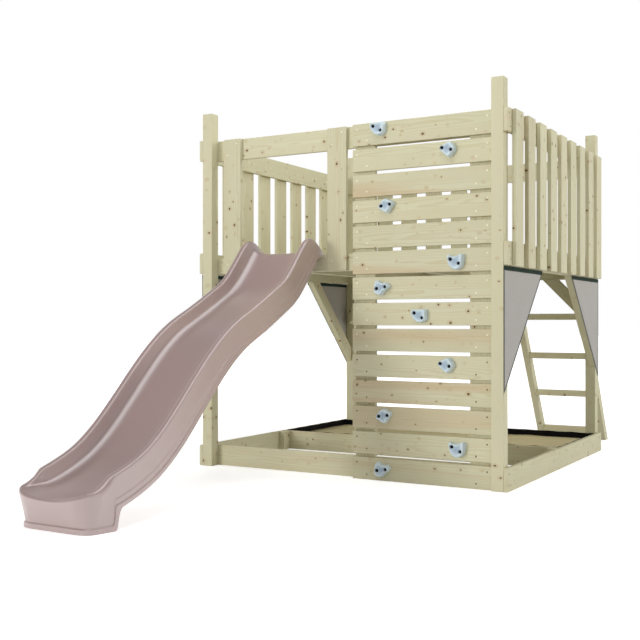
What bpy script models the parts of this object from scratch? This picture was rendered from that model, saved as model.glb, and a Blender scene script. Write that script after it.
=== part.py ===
"""Garden play tower: deck on four posts, wave slide, climbing wall, ladder and sandpit.

Metres, +Z up. The slide runs down towards -Y, the ladder leans at +Y. The origin lies on the
ground at the centre of the whole toy's footprint.
"""
from math import atan2, cos, radians, sin, sqrt, tan

import bmesh
import bpy
from mathutils import Matrix, Vector

# Tower frame
TOWER_WIDTH = 1.969          # across the outer faces of the posts, X
TOWER_DEPTH = 1.972          # across the outer faces of the posts, Y
POST_SIDE = 0.070
POST_RISE = 0.165            # posts above the top rails
BOARD_THICK = 0.024          # every nailed-on board
BOARD_TALL = 0.128
BEAM_THICK = 0.045           # beams, joists, braces and cleats
BEAM_TALL = 0.078
EASED = 0.002                # planed-off edges
FIT = 0.0003                 # clearance between two pieces that touch
TRIM = FIT / 2               # what each timber is planed back on every face
BITE = 0.001                 # how far boards sink in the timbers they are made one with

# Deck
DECK_HEIGHT = 1.300          # walking surface above the ground
DECK_THICK = 0.022
DECK_GAP = 0.0063            # between the deck boards
DECK_BOARDS = 14
INNER_JOISTS = 2
RIM_RISE = 0.032             # how far the side rims stand above the deck

# Balustrades
RAIL_RISE = 0.740            # tops of the rails above the deck
SLAT_WIDE = 0.125
SLAT_DROP = 0.001            # slats and wall boards end this much under the rails' tops
SIDE_SLATS = 9
SIDE_SLAT_START = 0.066      # first slat behind the posts' front faces
SIDE_SLAT_END = 0.089        # last slat in front of the posts' rear faces
REAR_SLATS = 6
LADDER_DOORWAY = 0.679       # clear width between the last rear slat and the right post

# Slide doorway and climbing wall
JAMB_INSET = 0.127           # left jamb from the tower's left side
SLIDE_DOORWAY = 0.617        # clear width between the jambs
WALL_GAP = 0.054             # between the right jamb and the climbing wall
WALL_BOARDS = 14
STUD_INSET = 0.008           # studs stand in from the wall boards' ends

# Braces and corner panels
PANEL_LEG = 0.682            # upright and level edges of each triangular panel
PANEL_THICK = 0.004
REAR_BRACE_LEG = 0.316

# Sandpit
LINER_THICK = 0.003
LINER_RISE = 0.003           # liner above the base boards
SAND_DROP = 0.033            # sand below the base boards' tops
CLEAT_LONG = 0.078

# Ladder
LADDER_INSET = 0.100         # right stringer from the tower's right side
LADDER_WIDE = 0.520
LADDER_LEAN = radians(31.2)  # from upright
LADDER_DROP = 0.0125         # stringers' tops under the deck's surface
STRINGER_DEEP = 0.070        # square to the lean
RUNGS = 4
RUNG_FIRST = 0.0725          # middle of the lowest rung above the ground
RUNG_LAST = 0.2605           # middle of the highest rung under the beams
RUNG_TALL = 0.045
RUNG_DEEP = 0.060

# Slide
SLIDE_TO_JAMB = 0.2545       # centre line to the right jamb
SLIDE_REACH = 1.935          # furthest point of the toe in front of the posts
SLIDE_LIP = 0.130            # how far the lip runs back over the deck
SLIDE_WALL = 0.005           # moulded skin
SLIDE_SECTIONS = 40
CREST_HALF = 0.2265          # from the centre line to the outside of the rolled edge
CREST_WIDE = 0.039
CREST_TALL = 0.091           # rolled edge above the bed
CREST_LEAN = 0.012           # how far the inner walls lean out from the bed to the crest
HEAD_RUN = 0.170             # over which the rolled edges rise at the head
SKIRT_RUN = 0.160            # over which the skirt deepens in front of the deck
SKIRT_DEEP = 0.061           # skirt below the bed, square to it
SKIRT_FLARE = 0.004          # how far the skirt leans out towards its hem
HEM_TALL = 0.028
HEM_OUT = 0.007
HEM_LEDGE = 0.004            # height over which the hem steps out
TOE_TALL = 0.143             # bed at the toe's front edge
TOE_RUN = 0.185              # over which the rolled edges sink to the toe's rim
TOE_DISH = 0.160             # over which the flat bed turns into the toe's shallow dish
TOE_BOX = 0.178              # length of the box that stands on the ground
TOE_WALL_RUN = 0.010         # run of the box's rear edge
TOE_CORNER = 0.100           # plan radius of the toe's corners
TOE_EDGE = 0.012             # rounding of the toe's top front edge
TOE_UNDERCUT = 0.040         # how far the toe's front leans in towards the ground
TOE_TAPER = 0.024            # how far its sides do at the front

# Climbing holds
HOLD_RADIUS = 0.043
HOLD_DEEP = 0.042
HOLD_SIDES = 20
BOLT_SPACING = 0.054
BORE_R = 0.0042              # hole for each bolt's shank
RECESS_R = 0.0110            # counterbore for its head
RECESS_FLOOR = 0.016         # solid plastic left under the recess

# Places worked out from the sizes
HALF_WIDTH = TOWER_WIDTH / 2
BEAM_TOP = DECK_HEIGHT - DECK_THICK
BEAM_BOTTOM = BEAM_TOP - BEAM_TALL
RAIL_TOP = DECK_HEIGHT + RAIL_RISE
POST_HEIGHT = RAIL_TOP + POST_RISE
LADDER_RUN = (DECK_HEIGHT - LADDER_DROP) * tan(LADDER_LEAN)
LADDER_REACH = LADDER_RUN - POST_SIDE + FIT
FRONT = -(TOWER_DEPTH + LADDER_REACH - SLIDE_REACH) / 2
BACK = FRONT + TOWER_DEPTH
FRONT_INNER = FRONT + POST_SIDE
BACK_INNER = BACK - POST_SIDE
GROUND = -TRIM               # a trimmed piece that stands on the ground ends at zero
WALL_BACK = FRONT_INNER - BOARD_THICK
WALL_FRONT = WALL_BACK - BOARD_THICK
JAMB_LEFT_X = -HALF_WIDTH + JAMB_INSET
JAMB_RIGHT_X = JAMB_LEFT_X + BOARD_TALL + SLIDE_DOORWAY
WALL_LEFT_X = JAMB_RIGHT_X + BOARD_TALL + WALL_GAP
WALL_RIGHT_X = HALF_WIDTH - POST_SIDE
WALL_PITCH = (RAIL_TOP - SLAT_DROP - BOARD_TALL) / (WALL_BOARDS - 1)
SLIDE_X = JAMB_RIGHT_X - SLIDE_TO_JAMB
TOE = FRONT - SLIDE_REACH
LIP_END = FRONT_INNER + SLIDE_LIP
SLIDE_STEP = (LIP_END - TOE) / SLIDE_SECTIONS

TOWER = bpy.data.collections.new("play_tower")
CUTTERS = bpy.data.collections.new("cutters")


def clear_scene():
    for obj in list(bpy.data.objects):
        bpy.data.objects.remove(obj, do_unlink=True)
    bpy.context.scene.collection.children.link(TOWER)
    bpy.context.scene.collection.children.link(CUTTERS)


def material(name, colour, roughness, metallic=0.0):
    mat = bpy.data.materials.new(name)
    mat.use_nodes = True
    shader = mat.node_tree.nodes["Principled BSDF"]
    shader.inputs["Base Color"].default_value = (*colour, 1.0)
    shader.inputs["Roughness"].default_value = roughness
    shader.inputs["Metallic"].default_value = metallic
    mat.diffuse_color = (*colour, 1.0)
    return mat


def add_object(name, mesh, mat, collection=TOWER):
    obj = bpy.data.objects.new(name, mesh)
    collection.objects.link(obj)
    if mat:
        mesh.materials.append(mat)
    return obj


def mesh_from(bm, name):
    mesh = bpy.data.meshes.new(name)
    bm.to_mesh(mesh)
    bm.free()
    return mesh


# Timber

def add_box(bm, x, y, z, about):
    """A planed box over the nominal spans x, y and z, trimmed on every face."""
    low = Vector((x[0], y[0], z[0])) + Vector((TRIM, TRIM, TRIM))
    high = Vector((x[1], y[1], z[1])) - Vector((TRIM, TRIM, TRIM))
    place = Matrix.Translation((low + high) / 2 - about) @ Matrix.Diagonal((*(high - low), 1.0))
    bmesh.ops.create_cube(bm, size=1.0, matrix=place)


def timber(name, x, y, z, mat):
    """One board or beam with eased edges, its origin at its own centre."""
    centre = Vector(((x[0] + x[1]) / 2, (y[0] + y[1]) / 2, (z[0] + z[1]) / 2))
    bm = bmesh.new()
    add_box(bm, x, y, z, centre)
    obj = add_object(name, mesh_from(bm, name), mat)
    obj.location = centre
    eased = obj.modifiers.new("eased_edges", "BEVEL")
    eased.width = EASED
    eased.segments = 1
    return obj


def framed(name, carriers, carried, mat):
    """Timbers and the row of boards fixed across them, made one solid with a union."""
    about = Vector([(carriers[0][axis][0] + carriers[0][axis][1]) / 2 for axis in range(3)])
    objects = []
    for part_name, boxes in ((name, carriers), (name + "_row", carried)):
        bm = bmesh.new()
        for x, y, z in boxes:
            add_box(bm, x, y, z, about)
        row = part_name != name
        mesh = mesh_from(bm, part_name)
        objects.append(helper(part_name, mesh) if row else add_object(part_name, mesh, mat))
        objects[-1].location = about
    union = objects[0].modifiers.new("row", "BOOLEAN")
    union.operation = "UNION"
    union.object = objects[1]
    return objects[0]


def helper(name, mesh):
    """A shape that only cuts or joins others."""
    obj = add_object(name, mesh, None, CUTTERS)
    obj.hide_render = True
    obj.display_type = "WIRE"
    return obj


def sawn_piece(name, outline, plane, low, high, mat):
    """A flat outline in the YZ or XZ plane, extruded from low to high along the third axis."""
    curve = bpy.data.curves.new(name, "CURVE")
    curve.dimensions = "2D"
    curve.fill_mode = "BOTH"
    curve.extrude = (high - low) / 2
    spline = curve.splines.new("POLY")
    spline.points.add(len(outline) - 1)
    for point, (a, b) in zip(spline.points, outline):
        point.co = (a, b, 0.0, 1.0)
    spline.use_cyclic_u = True
    obj = add_object(name, curve, mat)
    middle = (low + high) / 2
    if plane == "YZ":
        turn = Matrix(((0, 0, 1), (1, 0, 0), (0, 1, 0)))
        obj.location = (middle, 0.0, 0.0)
    else:
        turn = Matrix(((1, 0, 0), (0, 0, -1), (0, 1, 0)))
        obj.location = (0.0, middle, 0.0)
    obj.rotation_euler = turn.to_euler()
    return obj


def posts(mat):
    for side, x0 in (("left", -HALF_WIDTH), ("right", HALF_WIDTH - POST_SIDE)):
        for end, y0 in (("front", FRONT), ("rear", BACK_INNER)):
            timber(f"post_{end}_{side}", (x0, x0 + POST_SIDE), (y0, y0 + POST_SIDE),
                   (GROUND, POST_HEIGHT), mat)


def side_span(side):
    """X span of a board on the outer faces of the posts, on the side +1 or -1."""
    return tuple(sorted((side * HALF_WIDTH, side * (HALF_WIDTH + BOARD_THICK))))


def base_boards(mat):
    low = (GROUND, BOARD_TALL)
    across = (-HALF_WIDTH, HALF_WIDTH)
    timber("base_board_front", across, (FRONT_INNER, FRONT_INNER + BOARD_THICK), low, mat)
    timber("base_board_rear", across, (BACK_INNER - BOARD_THICK, BACK_INNER), low, mat)
    timber("base_board_left", side_span(-1), (FRONT, BACK), low, mat)
    timber("base_board_right", side_span(1), (FRONT, BACK), low, mat)


def deck_frame(mat):
    beam_z = (BEAM_BOTTOM, BEAM_TOP)
    front_y = (FRONT_INNER, FRONT_INNER + BEAM_THICK)
    rear_y = (BACK_INNER - BEAM_THICK, BACK_INNER)
    timber("rim_beam_front", (-HALF_WIDTH, HALF_WIDTH), front_y, beam_z, mat)
    timber("rim_beam_rear", (-HALF_WIDTH, HALF_WIDTH), rear_y, beam_z, mat)
    rail_z = (DECK_HEIGHT + RIM_RISE - BOARD_TALL, DECK_HEIGHT + RIM_RISE)
    timber("rim_rail_left", side_span(-1), (FRONT, BACK), rail_z, mat)
    timber("rim_rail_right", side_span(1), (FRONT, BACK), rail_z, mat)
    joist_y = (front_y[1], rear_y[0])
    left = -HALF_WIDTH
    right = HALF_WIDTH - BEAM_THICK
    timber("edge_joist_left", (left, left + BEAM_THICK), joist_y, beam_z, mat)
    timber("edge_joist_right", (right, right + BEAM_THICK), joist_y, beam_z, mat)


def deck(mat):
    """Deck boards on the inner joists."""
    joist_y = (FRONT_INNER + BEAM_THICK, BACK_INNER - BEAM_THICK)
    joists = []
    for k in range(1, INNER_JOISTS + 1):
        x0 = -HALF_WIDTH + k / (INNER_JOISTS + 1) * (TOWER_WIDTH - BEAM_THICK)
        joists.append(((x0, x0 + BEAM_THICK), joist_y, (BEAM_BOTTOM, BEAM_TOP + BITE)))
    span = BACK_INNER - FRONT_INNER
    wide = (span + DECK_GAP) / DECK_BOARDS - DECK_GAP
    across = (-HALF_WIDTH, HALF_WIDTH)
    boards = []
    for k in range(DECK_BOARDS):
        y0 = FRONT_INNER + k * (wide + DECK_GAP)
        boards.append((across, (y0, y0 + wide), (BEAM_TOP, DECK_HEIGHT)))
    framed("deck", joists, boards, mat)


def pitch_of(span, count):
    """Spacing of a row of slats that fills a span from end to end."""
    return (span - SLAT_WIDE) / (count - 1)


def balustrades(mat):
    """Top rails, with the slats that hang from them on the sides and the rear."""
    rail_z = (RAIL_TOP - BOARD_TALL, RAIL_TOP)
    slat_z = (BEAM_BOTTOM, RAIL_TOP - SLAT_DROP)
    across = (-HALF_WIDTH, HALF_WIDTH)
    timber("top_rail_front", across, (FRONT_INNER, FRONT_INNER + BOARD_THICK), rail_z, mat)
    side_pitch = pitch_of(TOWER_DEPTH - SIDE_SLAT_START - SIDE_SLAT_END, SIDE_SLATS)
    face = HALF_WIDTH + BOARD_THICK
    for name, side in (("balustrade_left", -1), ("balustrade_right", 1)):
        rail_x = sorted((side * HALF_WIDTH, side * (face + BITE)))
        slat_x = sorted((side * face, side * (face + BOARD_THICK)))
        slats = []
        for k in range(SIDE_SLATS):
            y0 = FRONT + SIDE_SLAT_START + k * side_pitch
            slats.append((slat_x, (y0, y0 + SLAT_WIDE), slat_z))
        framed(name, [(rail_x, (FRONT, BACK), rail_z)], slats, mat)
    rail_y = (BACK_INNER - BOARD_THICK, BACK_INNER)
    timber("top_rail_rear", across, rail_y, rail_z, mat)
    rear_pitch = pitch_of(TOWER_WIDTH - 2 * POST_SIDE - LADDER_DOORWAY, REAR_SLATS)
    for k in range(REAR_SLATS):
        x0 = -HALF_WIDTH + POST_SIDE + k * rear_pitch
        timber(f"rear_slat_{k + 1}", (x0, x0 + SLAT_WIDE), (BACK_INNER, BACK_INNER + BOARD_THICK),
               slat_z, mat)


def slide_jambs(mat):
    y = (WALL_BACK, FRONT_INNER)
    z = (BEAM_BOTTOM, RAIL_TOP)
    timber("slide_jamb_left", (JAMB_LEFT_X, JAMB_LEFT_X + BOARD_TALL), y, z, mat)
    timber("slide_jamb_right", (JAMB_RIGHT_X, JAMB_RIGHT_X + BOARD_TALL), y, z, mat)


def board_level(number):
    """Bottom of a climbing wall board, counted down from the top one, number 1."""
    return (WALL_BOARDS - number) * WALL_PITCH


def climbing_wall(mat):
    """Two studs from the ground to the rail, and the boards across them."""
    y = (WALL_BACK - BITE, FRONT_INNER)
    left_x = WALL_LEFT_X + STUD_INSET
    right_x = WALL_RIGHT_X - STUD_INSET - BOARD_TALL
    studs = [((x0, x0 + BOARD_TALL), y, (GROUND, RAIL_TOP)) for x0 in (left_x, right_x)]
    boards = []
    for number in range(WALL_BOARDS, 0, -1):
        z0 = board_level(number)
        low = GROUND if number == WALL_BOARDS else z0
        boards.append(((WALL_LEFT_X, WALL_RIGHT_X), (WALL_FRONT, WALL_BACK),
                       (low, z0 + BOARD_TALL)))
    framed("climbing_wall", studs, boards, mat)


def braces(mat):
    """Sloping timbers at 45 degrees that hold the posts square under the deck."""
    top = BEAM_BOTTOM - FIT
    cut = BEAM_TALL * sqrt(2)
    leg = PANEL_LEG - POST_SIDE - FIT
    for end, face, way in (("front", FRONT_INNER, 1), ("rear", BACK_INNER, -1)):
        y0 = face + way * FIT
        outline = [(y0, top - leg), (y0 + way * leg, top),
                   (y0 + way * (leg - cut), top), (y0, top - leg + cut)]
        for side, low in (("left", -HALF_WIDTH), ("right", HALF_WIDTH - BEAM_THICK)):
            sawn_piece(f"side_brace_{end}_{side}", outline, "YZ",
                       low + TRIM, low + BEAM_THICK - TRIM, mat)
    inner = HALF_WIDTH - BEAM_THICK - FIT
    for side, way in (("left", -1), ("right", 1)):
        x0 = way * inner
        outline = [(x0, top - REAR_BRACE_LEG), (x0 - way * REAR_BRACE_LEG, top),
                   (x0 - way * (REAR_BRACE_LEG - cut), top), (x0, top - REAR_BRACE_LEG + cut)]
        sawn_piece(f"rear_brace_{side}", outline, "XZ",
                   BACK_INNER - BEAM_THICK + TRIM, BACK_INNER - FIT, mat)


def corner_panels(mat):
    """Sheets stretched over the outside of the posts and braces."""
    top = BEAM_BOTTOM - FIT
    for end, edge, way in (("front", FRONT, 1), ("rear", BACK, -1)):
        outline = [(edge, top - PANEL_LEG), (edge + way * PANEL_LEG, top), (edge, top)]
        for side, sign in (("left", -1), ("right", 1)):
            span = sorted((sign * (HALF_WIDTH + FIT), sign * (HALF_WIDTH + FIT + PANEL_THICK)))
            sawn_piece(f"corner_panel_{end}_{side}", outline, "YZ", span[0], span[1], mat)


# Sandpit

def sandpit(wood, liner_mat, sand_mat):
    middle = (FRONT + BACK) / 2
    divider_y = (middle - BOARD_THICK / 2, middle + BOARD_THICK / 2)
    timber("sandpit_divider", (-HALF_WIDTH, HALF_WIDTH), divider_y, (GROUND, BOARD_TALL), wood)
    cleat_y = (divider_y[0] - CLEAT_LONG, divider_y[0])
    for side, x0 in (("left", -HALF_WIDTH), ("right", HALF_WIDTH - BEAM_THICK)):
        timber(f"divider_cleat_{side}", (x0, x0 + BEAM_THICK), cleat_y, (GROUND, BOARD_TALL), wood)

    x = (-HALF_WIDTH, HALF_WIDTH)
    y = (divider_y[1], BACK_INNER - BOARD_THICK)
    bm = bmesh.new()
    add_box(bm, x, y, (GROUND, BOARD_TALL + LINER_RISE + TRIM), Vector())
    top = [face for face in bm.faces if face.normal.z > 0.9]
    bmesh.ops.delete(bm, geom=top, context="FACES_ONLY")
    liner = add_object("sandpit_liner", mesh_from(bm, "sandpit_liner"), liner_mat)
    wall = liner.modifiers.new("sheet", "SOLIDIFY")
    wall.thickness = LINER_THICK
    wall.offset = -1.0
    wall.use_even_offset = True

    inside = LINER_THICK + FIT
    inner_x = (x[0] + inside, x[1] - inside)
    inner_y = (y[0] + inside, y[1] - inside)
    sand_z = (LINER_THICK + TRIM, BOARD_TALL - SAND_DROP + TRIM)
    timber("sand_fill", inner_x, inner_y, sand_z, sand_mat)


# Ladder

def ladder(mat):
    """Stringers cut level at the foot and plumb against the rear beam, with level rungs."""
    slope = tan(LADDER_LEAN)
    head = BACK_INNER + FIT
    foot_back = head + LADDER_RUN
    foot_front = foot_back - STRINGER_DEEP / cos(LADDER_LEAN)
    outline = [(foot_front, 0.0), (foot_back, 0.0),
               (head, LADDER_RUN / slope), (head, (foot_front - head) / slope)]
    right = HALF_WIDTH - LADDER_INSET
    left = right - LADDER_WIDE
    sawn_piece("ladder_stringer_left", outline, "YZ", left, left + BEAM_THICK, mat)
    sawn_piece("ladder_stringer_right", outline, "YZ", right - BEAM_THICK, right, mat)
    x = (left + BEAM_THICK + TRIM, right - BEAM_THICK - TRIM)
    for k in range(RUNGS):
        z = RUNG_FIRST + k / (RUNGS - 1) * (BEAM_BOTTOM - RUNG_LAST - RUNG_FIRST)
        y = (foot_front + foot_back) / 2 - z * slope
        timber(f"ladder_rung_{k + 1}", x, (y - RUNG_DEEP / 2, y + RUNG_DEEP / 2),
               (z - RUNG_TALL / 2, z + RUNG_TALL / 2), mat)


# Slide

# The bed's wave, from the deck's edge to the toe: share of the reach, share of the drop.
WAVE = ((0.000, 1.000), (0.057, 1.000), (0.077, 0.988), (0.125, 0.898), (0.184, 0.798),
        (0.259, 0.727), (0.344, 0.654), (0.434, 0.582), (0.509, 0.495), (0.583, 0.382),
        (0.658, 0.258), (0.723, 0.159), (0.793, 0.080), (0.873, 0.026), (0.910, 0.011),
        (0.948, 0.004), (0.994, 0.000), (1.000, -0.008))

# Height of the rolled edges, as a share of the full height, by share of the head's run.
CREST_HEAD = ((0.00, 0.10), (0.12, 0.16), (0.72, 0.90), (0.84, 1.00))
# The same by share of the toe's run, back from its front edge.
CREST_TOE = ((0.00, 0.36), (0.24, 0.46), (0.44, 0.55), (0.65, 0.66), (0.79, 0.84), (1.00, 1.00))
# Depth of the skirt, from the skin's thickness (0) to the full depth (1), by share of its run.
SKIRT_HEAD = ((0.025, 0.00), (0.125, 0.20), (0.44, 0.48), (0.75, 0.92), (1.00, 1.00))


def catmull_rom(points, steps):
    """A smooth curve through all the points, steps pieces between each two."""
    pts = [Vector(p) for p in points]
    ends = [2 * pts[0] - pts[1]] + pts + [2 * pts[-1] - pts[-2]]
    curve = []
    for a, b, c, d in zip(ends, ends[1:], ends[2:], ends[3:]):
        for k in range(steps):
            t = k / steps
            curve.append(0.5 * (2 * b + (c - a) * t + (2 * a - 5 * b + 4 * c - d) * t * t
                                + (3 * b - a - 3 * c + d) * t ** 3))
    return curve + [pts[-1]]


def between(value, table):
    """Straight-line reading of a table of (place, value) pairs, held at both ends."""
    if value <= table[0][0]:
        return table[0][1]
    for (a, va), (b, vb) in zip(table, table[1:]):
        if value <= b:
            return va + (vb - va) * (value - a) / (b - a)
    return table[-1][1]


def slide_stations():
    """Sections down the middle of the bed: (y, z, unit vector square to the bed and upward)."""
    bed_top = DECK_HEIGHT + FIT + SLIDE_WALL
    drop = bed_top - TOE_TALL
    wave = [(FRONT_INNER - a * (FRONT_INNER - TOE), TOE_TALL + b * drop) for a, b in WAVE]
    curve = catmull_rom([(LIP_END, bed_top), (LIP_END - SLIDE_LIP / 2, bed_top)] + wave, 6)
    heights = [(-p.x, p.y) for p in curve]

    # Even sections, but with a pair at the deck's edge and another at the toe box's rear edge.
    edges = [FRONT_INNER - share * SKIRT_RUN for share, deep in SKIRT_HEAD[:2]]
    box_end = TOE + TOE_BOX
    fixed = [LIP_END, *edges, box_end, box_end - TOE_WALL_RUN, box_end - HEM_TALL,
             box_end - HEM_TALL - HEM_LEDGE, TOE + TOE_EDGE, TOE]
    even = [LIP_END - SLIDE_STEP * k for k in range(1, SLIDE_SECTIONS)]
    places = fixed + [y for y in even if min(abs(y - f) for f in fixed) > SLIDE_STEP * 0.3]
    reach = SLIDE_STEP / 3
    stations = []
    for y in sorted(places, reverse=True):
        along = Vector((-2 * reach, between(-y + reach, heights) - between(-y - reach, heights)))
        if min(y - TOE, LIP_END - y) < reach:
            along = Vector((-1.0, 0.0))
        along.normalize()
        stations.append((y, between(-y, heights), Vector((along.y, -along.x))))
    return stations


def crest_height(y):
    """The rolled edge over the bed: it drops to the lip at the head and to a rim at the toe."""
    head = between((FRONT_INNER - y) / HEAD_RUN, CREST_HEAD)
    toe = between((y - TOE) / TOE_RUN, CREST_TOE)
    return CREST_TALL * min(head, toe)


def skirt_depth(y):
    """The skirt under the bed: only the skin's thickness over the deck, deep in front of it."""
    share = between((FRONT_INNER - y) / SKIRT_RUN, SKIRT_HEAD)
    return SLIDE_WALL + share * (SKIRT_DEEP - SLIDE_WALL)


def section(height, dish):
    """The right half of the moulding, from the bed's middle to the outside of the rolled edge.

    Each point is (distance from the centre line, height over the bed). The bed is flat where
    the dish is 0 and curves all the way up to the rim where it is 1.
    """
    inner = CREST_HALF - CREST_WIDE
    foot = inner - CREST_LEAN * height / CREST_TALL
    half_roll = CREST_WIDE / 2
    drop = min(0.6 * half_roll, height / 2)
    points = [(0.0, 0.0)]
    for share, flat, curved in ((0.45, 0.00, 0.14), (0.84, 0.01, 0.55), (0.94, 0.07, 0.70),
                                (0.99, 0.25, 0.79), (1.00, 0.75, 0.80)):
        across = foot * share if share < 1 else inner * 0.99
        points.append((across, height * (flat + dish * (curved - flat))))
    for degrees in (160, 125, 90, 55, 20):
        a = radians(degrees)
        points.append((inner + half_roll * (1 + cos(a)), height - drop * (1 - sin(a))))
    points.append((CREST_HALF, height - drop * 1.4))
    return points


def slide_top():
    """The bed and rolled edges: rows of points down the slide, each from side to side."""
    rows = []
    for y, z, up in slide_stations():
        half = section(crest_height(y), max(0.0, 1 - (y - TOE) / TOE_DISH))
        across = [(-a, h) for a, h in reversed(half[1:])] + half
        row = []
        for a, h in across:
            p = Vector((SLIDE_X + a, y + h * up.x, z + h * up.y))
            # The toe is rounded in plan: points near the corners stop short of the front.
            past = max(0.0, abs(a) - (CREST_HALF - TOE_CORNER))
            short = TOE_CORNER - sqrt(max(0.0, TOE_CORNER ** 2 - past ** 2))
            p.y += short * max(0.0, 1 - (y - TOE) / (2 * TOE_CORNER))
            row.append(p)
        rows.append(row)
    return rows


def skirt_ring(p, station, normal):
    """Four points of the outer wall: the rolled edge, the crease, the ledge and the hem."""
    y, z, up = station
    height = (p.z - z) / up.y
    bed = Vector((p.x, p.y - height * up.x, z))
    behind = TOE + TOE_BOX - y
    taper = TOE_TAPER * min(1.0, max(0.0, behind / TOE_BOX))
    out = (SKIRT_FLARE - taper) * normal.x ** 2 - TOE_UNDERCUT * normal.y ** 2
    if behind > TOE_WALL_RUN / 2:
        share = 1.0
        down = Vector((0.0, 0.0, -1.0))
        deep = z
        # The hem turns down the box's rear edge and runs on along the ground.
        hem_tall = HEM_TALL if behind > HEM_TALL + HEM_LEDGE / 2 else z - SKIRT_DEEP + HEM_TALL
    else:
        deep = skirt_depth(y)
        share = (deep - SLIDE_WALL) / (SKIRT_DEEP - SLIDE_WALL)
        down = Vector((0.0, -up.x, -up.y))
        hem_tall = HEM_TALL
    hem_tall = min(hem_tall, max(deep * 0.4, deep - SKIRT_DEEP * 0.6))
    ledge = min(HEM_LEDGE, hem_tall * 0.3)
    sideways = share * Vector((normal.x, normal.y, 0.0))
    flare = sideways * out
    step = sideways * (out + HEM_OUT)
    return [p, bed + down * (deep - hem_tall) + flare,
            bed + down * (deep - hem_tall + ledge) + step, bed + down * deep + step]


def slide_skirt(rows):
    """The outer wall, as a strip down one side, round the toe and back up the other."""
    stations = slide_stations()
    rings = [skirt_ring(row[0], station, Vector((-1.0, 0.0)))
             for row, station in zip(rows[:-1], stations)]
    front = rows[-1]
    normals = [Vector((-1.0, 0.0))]
    for before, after in zip(front, front[2:]):
        along = after - before
        normals.append(Vector((along.y, -along.x)).normalized())
    normals.append(Vector((1.0, 0.0)))
    rings += [skirt_ring(p, stations[-1], normal) for p, normal in zip(front, normals)]
    rings += [skirt_ring(row[-1], station, Vector((1.0, 0.0)))
              for row, station in reversed(list(zip(rows[:-1], stations)))]
    return rings


def slide(mat):
    """A rotationally moulded shell: its outer skin is lofted, then given its wall inward."""
    bm = bmesh.new()
    rows = slide_top()
    add_grid(bm, rows)
    add_grid(bm, slide_skirt(rows))
    bmesh.ops.remove_doubles(bm, verts=bm.verts, dist=0.00005)
    bmesh.ops.recalc_face_normals(bm, faces=bm.faces)
    highest = max(bm.faces, key=lambda face: face.calc_center_median().z)
    if highest.normal.z < 0:
        bmesh.ops.reverse_faces(bm, faces=bm.faces)
    obj = add_object("slide", mesh_from(bm, "slide"), mat)
    skin = obj.modifiers.new("skin", "SOLIDIFY")
    skin.thickness = SLIDE_WALL
    skin.offset = -1.0
    obj.data.shade_smooth()
    obj.data.set_sharp_from_angle(angle=radians(40))


def add_grid(bm, rows):
    """Quads between successive rows of points."""
    verts = [[bm.verts.new(p) for p in row] for row in rows]
    for low, high in zip(verts, verts[1:]):
        for a, b, c, d in zip(low, low[1:], high[1:], high):
            bm.faces.new((a, b, c, d))


# Climbing holds

# Board number from the top, centre along the board and up its face as shares of its length
# and height, shape, turn of the two bolts from level in degrees.
HOLDS = ((1, 0.202, 0.66, "wedge", -30), (2, 0.705, 0.61, "kite", -15),
         (4, 0.266, 0.71, "trefoil", 8), (6, 0.760, 0.40, "wedge", -24),
         (7, 0.234, 0.55, "trefoil", 10), (8, 0.504, 0.42, "wedge", -28),
         (10, 0.694, 0.60, "kite", -16), (12, 0.248, 0.63, "trefoil", 11),
         (13, 0.770, 0.48, "wedge", -26), (14, 0.237, 0.55, "trefoil", 10))
# Loft of a hold: share of its depth, share of its outline.
HOLD_LOFT = ((0.0, 1.0), (0.25, 1.0), (0.68, 0.88), (0.92, 0.68), (1.0, 0.42))


def hold_outline(shape, angle):
    """Radius of a hold's outline at an angle."""
    c = abs(cos(angle))
    s = abs(sin(angle))
    if shape == "trefoil":
        return HOLD_RADIUS * (1 + 0.10 * sin(3 * angle))
    if shape == "kite":
        return HOLD_RADIUS * 1.12 / (c ** 1.35 + s ** 1.35) ** (1 / 1.35)
    half_wide = 0.93 + 0.21 * sin(angle)
    return HOLD_RADIUS / ((c / half_wide) ** 3.2 + s ** 3.2) ** (1 / 3.2)


def hold_body(shape):
    """An outlined plate drawn out of the wall and narrowed step by step."""
    bm = bmesh.new()
    bmesh.ops.create_circle(bm, cap_ends=True, radius=1.0, segments=HOLD_SIDES)
    for vert in bm.verts:
        vert.co *= hold_outline(shape, atan2(vert.co.y, vert.co.x))
    front = list(bm.faces)
    for (depth, share), (next_depth, next_share) in zip(HOLD_LOFT, HOLD_LOFT[1:]):
        grown = bmesh.ops.extrude_face_region(bm, geom=front)["geom"]
        if depth > 0.0:
            bmesh.ops.delete(bm, geom=front, context="FACES_ONLY")
        front = [g for g in grown if isinstance(g, bmesh.types.BMFace)]
        rim = front[0].verts[:]
        bmesh.ops.scale(bm, verts=rim, vec=(next_share / share, next_share / share, 1.0))
        bmesh.ops.translate(bm, verts=rim, vec=(0.0, 0.0, (next_depth - depth) * HOLD_DEEP))
    bmesh.ops.recalc_face_normals(bm, faces=bm.faces)
    return mesh_from(bm, f"hold_{shape}")


def cylinders(name, radius, low, high, sides):
    """A pair of cylinders at a hold's two bolts, as a cutter."""
    bm = bmesh.new()
    for way in (-1, 1):
        place = Matrix.Translation((way * BOLT_SPACING / 2, 0.0, (low + high) / 2))
        bmesh.ops.create_cone(bm, cap_ends=True, segments=sides, radius1=radius,
                              radius2=radius, depth=high - low, matrix=place)
    return helper(name, mesh_from(bm, name))


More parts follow.
